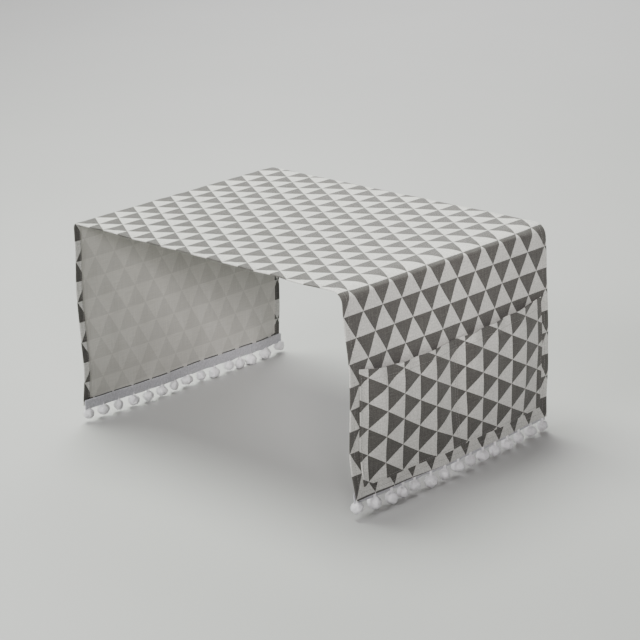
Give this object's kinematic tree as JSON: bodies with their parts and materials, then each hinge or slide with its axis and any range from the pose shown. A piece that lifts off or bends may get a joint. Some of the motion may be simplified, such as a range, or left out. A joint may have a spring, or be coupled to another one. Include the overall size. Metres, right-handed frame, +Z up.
{
  "type": "microwave oven cover",
  "caption": "Runner of triangle-print canvas over the top and both sides of a microwave oven, with sewn side pockets and a pompom trim under each hem.",
  "frame": {"origin": "on the underside of the top panel, at its middle, where it rests on the oven", "axes": "+X towards the drop that is in view, -Y towards the oven's door, +Z up"},
  "size_m": [0.4867, 0.3416, 0.2602],
  "materials": {
    "printed_canvas": "matt woven canvas printed with light and dark grey triangles",
    "pocket_canvas": "the same canvas with its print turned a quarter turn",
    "pompom_yarn": "off-white woven tape and fluffy yarn"
  },
  "bodies": {
    "root": {"cover_cloth": "printed_canvas", "pocket_right": "pocket_canvas", "pocket_left": "pocket_canvas", "pompom_trim_right": "pompom_yarn", "pompom_trim_left": "pompom_yarn"}
  },
  "joints": []
}
